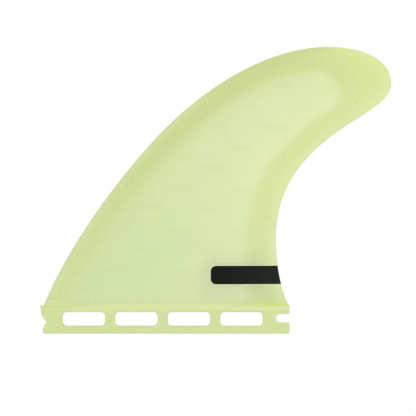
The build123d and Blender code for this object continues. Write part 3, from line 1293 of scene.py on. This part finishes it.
@dataclass(frozen=True)
class CoreField(Layer):
    """The core's own paler area, with a tone in front and one behind, low and high; the darker tones in front
    and low down are painted shade, and the lighter ones behind and high up painted light.

    Its border is sharp behind, and in front it has a long soft tail.
    """

    front: tuple[Colour, Colour] = ((213.6, 230, 170.5), (219.5, 231.4, 175))
    rear: tuple[Colour, Colour] = ((217, 230, 176), (223.7, 234.7, 175.5))
    front_rise: Fade = Fade(20.0 * MM, 95.0 * MM)
    rear_rise: Fade = Fade(15.0 * MM, 70.0 * MM)
    rearward: Fade = Fade(0.4, 0.75)
    sharp: Fade = Fade(-2.5 * MM, 3.8 * MM)
    near: Fade = Fade(-2.5 * MM, 3.0 * MM, 0.0, 0.65)
    far: Fade = Fade(1.0 * MM, 10.0 * MM, 0.0, 0.35)
    sharp_behind: Fade = Fade(0.35, 0.6)

    def over(self, graph: LaminateGraph, colour: Socket) -> Socket:
        """Lays the field over the rim.

        Args:
            graph: the laminate's graph.
            colour: the colour under it.

        Returns:
            The colour with it.
        """
        # painted shade in front and low down, painted light behind and high up
        front = graph.mix(graph.fade(graph.z, self.front_rise), *self.front)
        rear = graph.mix(graph.fade(graph.z, self.rear_rise), *self.rear)
        field = graph.mix(graph.fade(graph.rear, self.rearward), front, rear)
        soft = graph.math("ADD", graph.fade(graph.core, self.near), graph.fade(graph.core, self.far))
        sharp = graph.fade(graph.core, self.sharp)
        inside = graph.between(graph.fade(graph.rear, self.sharp_behind), soft, sharp)
        return graph.mix(inside, colour, field)


@dataclass(frozen=True)
class CellLines(Layer):
    """Soft darker lines between the core's cells, of uneven strength, on a cloudy field."""

    cells: HexCells = HexCells()
    darker: Colour = (196, 215, 150)
    level: Fade = Fade(0.0, 0.115, 0.17, 0.0)
    sloping: Fade = Fade(0.0, 0.15, 0.05, 0.0)
    patches: Cloud = Cloud(50.0, Fade(0.32, 0.68, 0.65, 1.4))
    mottle: Cloud = Cloud(85.0, over_noise(-0.035, 0.06), detail=3.0)
    inside: Fade = Fade(1.0 * MM, 5.0 * MM)

    def over(self, graph: LaminateGraph, colour: Socket) -> Socket:
        """Lays the lines and the clouds over the field.

        Args:
            graph: the laminate's graph.
            colour: the colour under it.

        Returns:
            The colour with it.
        """
        level, sloping = self.cells.edges(graph)
        lines = graph.math("MAXIMUM", graph.fade(level, self.level), graph.fade(sloping, self.sloping))
        uneven = graph.times(lines, graph.cloud(self.patches))
        share = graph.math("ADD", uneven, graph.cloud(self.mottle))
        share = graph.math("MULTIPLY", share, graph.fade(graph.core, self.inside), clamp=True)
        return graph.mix(share, colour, self.darker)


@dataclass(frozen=True)
class EdgeGlow(Layer):
    """Light in the blade's thin edges, more behind and low down than in front and on top."""

    lighter: Colour = (232, 240, 187)
    front_reach: Fade = Fade(1.0 * MM, 4.5 * MM, 1.0, 0.0)
    front_strength: Fade = Fade(85.0 * MM, 112.0 * MM, 0.28, 0.04)
    rear_reach: Fade = Fade(1.0 * MM, 6.0 * MM, 1.0, 0.0)
    rear_strength: Fade = Fade(20.0 * MM, 50.0 * MM, 0.4, 0.28)
    top_strength: Fade = Fade(97.0 * MM, 112.0 * MM, 1.0, 0.1)
    rearward: Fade = Fade(0.35, 0.8)

    def over(self, graph: LaminateGraph, colour: Socket) -> Socket:
        """Lightens the blade towards its edges.

        Args:
            graph: the laminate's graph.
            colour: the colour under it.

        Returns:
            The colour with it.
        """
        front = graph.times(
            graph.fade(graph.edge, self.front_reach),
            graph.fade(graph.z, self.front_strength),
        )
        rear = graph.times(
            graph.fade(graph.edge, self.rear_reach),
            graph.fade(graph.z, self.rear_strength),
            graph.fade(graph.z, self.top_strength),
        )
        share = graph.between(graph.fade(graph.rear, self.rearward), front, rear)
        return graph.mix(share, colour, self.lighter)


@dataclass(frozen=True)
class LabelShade(Layer):
    """The grey shade that the label casts into the laminate, and its thin pale margin outside."""

    label: Label = Label()
    grey: Colour = (188, 204, 154)
    pale: Colour = (219, 234, 180)
    reach: Fade = Fade(9.0 * MM, 19.0 * MM, 1.0, 0.7)
    falloff: Fade = Fade(0.5 * MM, 12.0 * MM, 1.0, 0.0)
    strength: Fade = Fade(8.0 * MM, 20.0 * MM, 0.75, 0.65)
    in_rim: Fade = Fade(-4.0 * MM, 2.5 * MM, 1.0, 0.5)
    close: Fade = Fade(0.5 * MM, 2.2 * MM, 0.3, 0.0)
    inland: Fade = Fade(1.0 * MM, 12.0 * MM, 0.1, 1.0)
    margin: Fade = Fade(0.3 * MM, 0.55 * MM, 0.7, 0.0)

    def gap(self, graph: Graph) -> Socket:
        """Distance from the label.

        Formula: the length of what sticks out, along x and z, past the label's box drawn in by the
        corner's radius, less that radius.

        Args:
            graph: the material's graph.

        Returns:
            The distance, below 0 under the label.
        """
        label = self.label
        front = label.blade.outline.waist - label.reach + label.corner
        half = label.height / 2
        aside = graph.math("MAXIMUM", graph.math("SUBTRACT", front, graph.x), 0.0)
        past = graph.math("SUBTRACT", graph.away(graph.z, label.base + half), half - label.corner)
        past = graph.math("MAXIMUM", past, 0.0)
        squares = graph.math("ADD", graph.times(aside, aside), graph.times(past, past))
        return graph.math("SUBTRACT", graph.math("SQRT", squares), label.corner)

    def over(self, graph: LaminateGraph, colour: Socket) -> Socket:
        """Lays the shade, then the margin.

        Args:
            graph: the laminate's graph.
            colour: the colour under it.

        Returns:
            The colour with it.
        """
        gap = self.gap(graph)
        spread = graph.math("DIVIDE", gap, graph.fade(graph.z, self.reach))
        wide = graph.times(
            graph.fade(spread, self.falloff),
            graph.fade(graph.z, self.strength),
            graph.fade(graph.core, self.in_rim),
        )
        share = graph.math("ADD", wide, graph.fade(gap, self.close))
        share = graph.times(share, graph.fade(graph.edge, self.inland))
        colour = graph.mix(share, colour, self.grey)
        margin = graph.times(graph.fade(gap, self.margin), graph.outside)
        return graph.mix(margin, colour, self.pale)


@dataclass(frozen=True)
class Stain:
    """A dark speck under the outside face."""

    x: float
    z: float
    radius: float = 0.38 * MM
    strength: float = 0.75


@dataclass(frozen=True)
class Stains(Layer):
    """The few dark specks under the outside face."""

    dark: Colour = (120, 132, 84)
    stains: tuple[Stain, ...] = (
        Stain(-34.9 * MM, 3.5 * MM),
        Stain(-26.2 * MM, 1.2 * MM),
        Stain(-26.5 * MM, 19.7 * MM),
        Stain(-4.2 * MM, 21.3 * MM),
        Stain(-4.9 * MM, 74.3 * MM, strength=0.5),
        Stain(87.8 * MM, 93.9 * MM),
    )

    def over(self, graph: LaminateGraph, colour: Socket) -> Socket:
        """Lays the specks over the outside face.

        Args:
            graph: the laminate's graph.
            colour: the colour under it.

        Returns:
            The colour with it.
        """
        flat = graph.node("CombineXYZ", graph.x, 0.0, graph.z).outputs[0]
        share = 0.0
        for stain in self.stains:
            gap = graph.distance(flat, (stain.x, 0.0, stain.z))
            speck = graph.fade(gap, Fade(0.0, stain.radius, stain.strength, 0.0))
            share = graph.math("MAXIMUM", share, speck)
        return graph.mix(graph.times(share, graph.outside), colour, self.dark)


@dataclass(frozen=True)
class TabTones(Layer):
    """The tab's tones: plain sides, a lighter land, a painted highlight along the lip under it, yellower
    walls painted with the light that the laminate carries into its windows, and painted shade on the blade's
    foot.
    """

    side: Colour = (212.3, 226.8, 157)
    land: Colour = (220, 232, 163)
    lip: Colour = (224, 234, 167)
    wall: Colour = (226, 224, 118)
    foot: Colour = (205, 219, 154)
    land_edge: Fade = Fade(-12.0 * MM, 50.0 * MM, -3.0 * MM, -1.7 * MM, straight=True)
    land_border: Fade = Fade(-0.2 * MM, 0.3 * MM)
    land_start: Fade = Fade(-48.0 * MM, -32.0 * MM)
    lip_level: float = -2.1 * MM
    lip_reach: Fade = Fade(0.0, 0.5 * MM, 0.7, 0.0)
    wall_depth: Fade = Fade(2.6 * MM, 3.0 * MM, 0.85, 0.0)
    wall_top: Fade = Fade(-1.0 * MM, -0.6 * MM, 1.0, 0.0)
    foot_rise: Fade = Fade(0.5 * MM, 4.5 * MM, 0.4, 0.0)
    root: Fade = Fade(0.1 * MM, 0.9 * MM, 1.0, 0.0)

    def over(self, graph: LaminateGraph, colour: Socket) -> Socket:
        """Lays the tab's tones below the root, and darkens the blade's foot just above it with painted shade.

        Args:
            graph: the laminate's graph.
            colour: the colour under it.

        Returns:
            The colour with it.
        """
        over_land = graph.math("SUBTRACT", graph.z, graph.fade(graph.x, self.land_edge))
        on_land = graph.times(graph.fade(over_land, self.land_border), graph.fade(graph.x, self.land_start))
        tab = graph.mix(on_land, self.side, self.land)
        # painted highlight along the lip under the land
        tab = graph.mix(graph.fade(graph.away(graph.z, self.lip_level), self.lip_reach), tab, self.lip)
        # yellow walls: painted light that the laminate carries into the windows' walls
        in_wall = graph.fade(graph.away(graph.y, 0.0), self.wall_depth)
        tab = graph.mix(graph.times(in_wall, graph.fade(graph.z, self.wall_top)), tab, self.wall)
        # painted shade on the blade's foot, in the crease above the tab
        colour = graph.mix(graph.fade(graph.z, self.foot_rise), colour, self.foot)
        return graph.mix(graph.fade(graph.z, self.root), colour, tab)


@dataclass(frozen=True)
class RootLine(Layer):
    """The painted light at the blade's root, and a line of painted shade along its front and rear ends, in
    the crease on the land, yellow with the light held in the corner.

    Formula: the line rises evenly from just under the land's top in front to just over it behind.
    """

    pale: Colour = (234, 243, 184)
    yellow: tuple[Colour, Colour] = ((211, 222, 128), (221, 232, 135))
    nose: Fade = Fade(-52.0 * MM, -38.0 * MM, 0.55, 0.0)
    nose_rise: Fade = Fade(0.6 * MM, 3.5 * MM, 1.0, 0.0)
    nose_foot: Fade = Fade(-0.1 * MM, 0.1 * MM)
    glint_level: float = 0.25 * MM
    glint: Fade = Fade(0.0, 0.6 * MM, 0.25, 0.0)
    level: Fade = Fade(-50.0 * MM, 55.0 * MM, -0.4 * MM, 0.3 * MM, straight=True)
    thin: Fade = Fade(0.1 * MM, 0.5 * MM, 1.0, 0.0)
    tail: Fade = Fade(25.0 * MM, 45.0 * MM, 0.0, 0.45)
    tail_rise: Fade = Fade(0.0, 2.2 * MM, 1.0, 0.0)
    middle: float = -2.0 * MM
    ends: Fade = Fade(39.0 * MM, 48.0 * MM)
    rearward: Fade = Fade(-40.0 * MM, 40.0 * MM)

    def over(self, graph: LaminateGraph, colour: Socket) -> Socket:
        """Lays the light, then the line.

        Args:
            graph: the laminate's graph.
            colour: the colour under it.

        Returns:
            The colour with it.
        """
        nose = graph.times(
            graph.fade(graph.x, self.nose),
            graph.fade(graph.z, self.nose_rise),
            graph.fade(graph.z, self.nose_foot),
        )
        glint = graph.fade(graph.away(graph.z, self.glint_level), self.glint)
        colour = graph.mix(graph.math("ADD", nose, glint), colour, self.pale)
        # the yellow line: painted shade in the crease where the blade meets the land, with painted light held
        # in the corner
        above = graph.math("SUBTRACT", graph.z, graph.fade(graph.x, self.level))
        soft = graph.times(
            graph.fade(above, self.tail_rise),
            graph.fade(graph.x, self.tail),
            graph.math("GREATER_THAN", above, 0.0),
        )
        line = graph.math("MAXIMUM", graph.fade(graph.away(above, 0.0), self.thin), soft)
        line = graph.times(line, graph.fade(graph.away(graph.x, self.middle), self.ends))
        yellow = graph.mix(graph.fade(graph.x, self.rearward), *self.yellow)
        return graph.mix(line, colour, yellow)


@dataclass(frozen=True)
class Speckle(Layer):
    """Fine speckle of slightly different tints, as the weave's threads catch the light."""

    amount: Colour = (0.185, 0.075, 0.16)
    coarser: Fade = Fade(-4.0 * MM, 2.0 * MM, 1.5, 1.0)

    def over(self, graph: LaminateGraph, colour: Socket) -> Socket:
        """Shifts the colour, more outside the core.

        Args:
            graph: the laminate's graph.
            colour: the colour under it.

        Returns:
            The colour with it.
        """
        strength = graph.fade(graph.core, self.coarser)
        shift = graph.vector("SCALE", graph.tint(self.amount), None, None, strength)
        return graph.vector("ADD", colour, shift)


@dataclass(frozen=True)
class LaminateFinish:
    """Pale green glass laminate, satin, with the hexagonal core showing through it."""

    rim: SolidRim = SolidRim()
    field: CoreField = CoreField()
    cell_lines: CellLines = CellLines()
    edge_glow: EdgeGlow = EdgeGlow()
    label_shade: LabelShade = LabelShade()
    stains: Stains = Stains()
    tab: TabTones = TabTones()
    root_line: RootLine = RootLine()
    speckle: Speckle = Speckle()
    warp: Cloud = Cloud(70.0, over_noise(-0.5 * MM, 0.5 * MM))
    inside_level: float = 3.0 * MM
    grain: Grain = Grain(
        scale=2600.0, detail=3.0, roughness=over_noise(0.4, 0.54), depth=0.03 * MM, strength=0.5
    )
    refraction: float = 1.5

    def layers(self) -> tuple[Layer, ...]:
        """The layers over the rim's tones in order, from the lowest."""
        low = (self.field, self.cell_lines, self.edge_glow, self.label_shade)
        return (*low, self.stains, self.tab, self.root_line, self.speckle)

    def material(self) -> bpy.types.Material:
        """The laminate's material, with its layers laid over the rim's tones.

        Returns:
            The material.
        """
        graph = LaminateGraph("glass_laminate", self.warp, self.inside_level)
        colour = self.rim.colour(graph)
        for layer in self.layers():
            colour = layer.over(graph, colour)
        graph.shade("Base Color", colour)
        self.grain.over(graph)
        graph.shade("IOR", self.refraction)
        return graph.material


@dataclass(frozen=True)
class CoreFinish:
    """Pale core sheet with its cells a little lighter than the channels between them."""

    cells: HexCells = HexCells()
    cell: Colour = (232, 238, 205)
    channel: Colour = (205, 216, 168)
    channel_width: Fade = Fade(0.0, 0.05, 1.0, 0.0)
    clouding: Fade = over_noise(0.0, 0.25)
    grain: Grain = Grain(
        scale=900.0, detail=4.0, roughness=over_noise(0.6, 0.8), depth=0.05 * MM, strength=0.4
    )

    def material(self) -> bpy.types.Material:
        """The core's material.

        Returns:
            The material.
        """
        graph = Graph("core_sheet")
        nearest = graph.math("MINIMUM", *self.cells.edges(graph))
        colour = graph.mix(graph.fade(nearest, self.channel_width), self.cell, self.channel)
        grain = self.grain.over(graph)
        graph.shade("Base Color", graph.mix(graph.fade(grain, self.clouding), colour, self.channel))
        return graph.material


@dataclass(frozen=True)
class LabelFinish:
    """Black film under a thin gloss, with a print grain, a little lighter towards the trailing edge."""

    black: Colour = (1, 11, 2)
    rear_tone: Colour = (20, 27, 20)
    toward_trailing_edge: Fade = Fade(26.0 * MM, 51.0 * MM, straight=True)
    speckle: Colour = (0.036, 0.014, 0.018)
    grain: Grain = Grain(
        scale=1800.0, detail=3.0, roughness=over_noise(0.4, 0.52), depth=0.02 * MM, strength=0.4
    )
    gloss: float = 0.1

    def material(self) -> bpy.types.Material:
        """The label's material.

        Returns:
            The material.
        """
        graph = Graph("black_film")
        # the film turns lighter towards the trailing edge
        colour = graph.mix(graph.fade(graph.x, self.toward_trailing_edge), self.black, self.rear_tone)
        colour = graph.vector("ADD", colour, graph.tint(self.speckle))
        graph.shade("Base Color", graph.vector("MAXIMUM", colour, (0.0, 0.0, 0.0)))
        self.grain.over(graph)
        graph.shade("Specular IOR Level", self.gloss)
        return graph.material


@dataclass(frozen=True)
class Fin:
    """The whole fin: the moulding, the label on it and the core inside it."""

    blade: Blade = Blade()
    tab: Tab = Tab()
    label: Label = Label()
    laminate: LaminateFinish = LaminateFinish()
    film: LabelFinish = LabelFinish()
    core: CoreFinish = CoreFinish()
    merge: float = 0.002 * MM

    def moulding(self) -> bpy.types.Object:
        """The blade and the tab, which stand for the laminate.

        Returns:
            The piece.
        """
        shell = joined([self.blade.shell(), self.tab.shell()])
        thing = add_object("fin_moulding", shell, merge=self.merge)
        thing.data.materials.append(self.laminate.material())
        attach(thing, "root")
        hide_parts("fin_laminate")
        return thing

    def bar(self) -> bpy.types.Object:
        """The label, which stands for its film.

        Returns:
            The piece.
        """
        thing = add_object("label_bar", self.label.shell())
        thing.data.materials.append(self.film.material())
        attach(thing, "root")
        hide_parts("label_film")
        return thing

    def sheet(self) -> bpy.types.Object:
        """The core as the frame holds it, with its own finish.

        Returns:
            The core's node.
        """
        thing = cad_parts["core_panel"]
        material = self.core.material()
        for material_slot in thing.material_slots:
            material_slot.material = material
        return thing


@dataclass(frozen=True)
class Studio:
    """White surroundings, soft light, a pale floor and the camera."""

    distance: float = 1.0
    frame_width: float = 0.1915
    aim: tuple[float, float] = (19.72 * MM, 44.95 * MM)
    sensor: float = 36.0
    sky_light: float = 0.83
    key_power: float = 3.4
    key_size: float = 0.7
    key_place: tuple[float, float, float] = (0.5, -1.25, 0.3)
    floor_drop: float = 0.16
    floor_radius: float = 0.9
    floor_tones: tuple[Colour, Colour] = ((231.115,) * 3, (237.139,) * 3)
    floor_clouds: float = 60.0
    floor_detail: float = 3.0
    floor_roughness: float = 0.9
    floor_sides: int = 96

    def camera(self) -> bpy.types.Object:
        """The camera, square on to the outside face.

        Returns:
            The camera.
        """
        data = bpy.data.cameras.new("camera")
        data.sensor_width = self.sensor
        data.lens = self.sensor * self.distance / self.frame_width
        thing = bpy.data.objects.new("camera", data)
        thing.location = (self.aim[0], -self.distance, self.aim[1])
        thing.rotation_euler = (math.pi / 2, 0.0, 0.0)
        bpy.context.scene.collection.objects.link(thing)
        bpy.context.scene.camera = thing
        return thing

    def surroundings(self) -> None:
        """White where the camera or a gloss looks, and plain grey light on the object."""
        world = bpy.data.worlds.new("surroundings")
        world.use_nodes = True
        bpy.context.scene.world = world
        nodes, links = world.node_tree.nodes, world.node_tree.links
        background = nodes["Background"]
        rays = nodes.new("ShaderNodeLightPath").outputs
        seen = rays["Is Camera Ray"]
        for name in ("Is Glossy Ray", "Is Transmission Ray"):
            either = nodes.new("ShaderNodeMath")
            either.operation = "MAXIMUM"
            links.new(seen, either.inputs[0])
            links.new(rays[name], either.inputs[1])
            seen = either.outputs[0]
        strength = nodes.new("ShaderNodeMapRange")
        strength.inputs["To Min"].default_value = self.sky_light
        strength.inputs["To Max"].default_value = 1.0
        links.new(seen, strength.inputs["Value"])
        links.new(strength.outputs["Result"], background.inputs["Strength"])
        background.inputs["Color"].default_value = (1.0, 1.0, 1.0, 1.0)

    def key(self) -> bpy.types.Object:
        """A wide soft light in front, up and to the right.

        Returns:
            The light.
        """
        data = bpy.data.lights.new("key", "AREA")
        data.shape = "DISK"
        data.size = self.key_size
        data.energy = self.key_power
        thing = bpy.data.objects.new("key", data)
        thing.location = self.key_place
        target = Vector((self.aim[0], 0.0, self.aim[1]))
        thing.rotation_euler = (target - Vector(self.key_place)).to_track_quat("-Z", "Y").to_euler()
        bpy.context.scene.collection.objects.link(thing)
        return thing

    def floor(self) -> bpy.types.Object:
        """A pale round floor, below what the camera sees.

        Returns:
            The floor.
        """
        turn = np.linspace(0.0, 2.0 * math.pi, self.floor_sides, endpoint=False)
        ring = np.stack([np.cos(turn), np.sin(turn)], axis=-1) * self.floor_radius
        points = np.column_stack([ring, np.full(len(ring), -self.floor_drop)])
        shell = Shell(points, [list(range(len(ring)))], np.zeros(1), {})
        thing = add_object("floor", shell)
        graph = Graph("pale_floor")
        clouds = graph.noise(self.floor_clouds, self.floor_detail).outputs["Fac"]
        graph.shade("Base Color", graph.mix(clouds, *self.floor_tones))
        graph.shade("Roughness", self.floor_roughness)
        thing.data.materials.append(graph.material)
        return thing


def main() -> None:
    """Sets up the studio, builds and dresses the fin, and reports each piece."""
    logging.basicConfig(level=logging.INFO, format="%(message)s")
    bpy.context.scene.view_settings.view_transform = "Standard"
    studio = Studio()
    studio.camera()
    studio.surroundings()
    studio.key()
    studio.floor()
    fin = Fin()
    for thing in (fin.moulding(), fin.bar(), fin.sheet()):
        LOG.info("%s: %d faces", thing.name, len(thing.data.polygons))


if __name__ == "__main__":
    main()
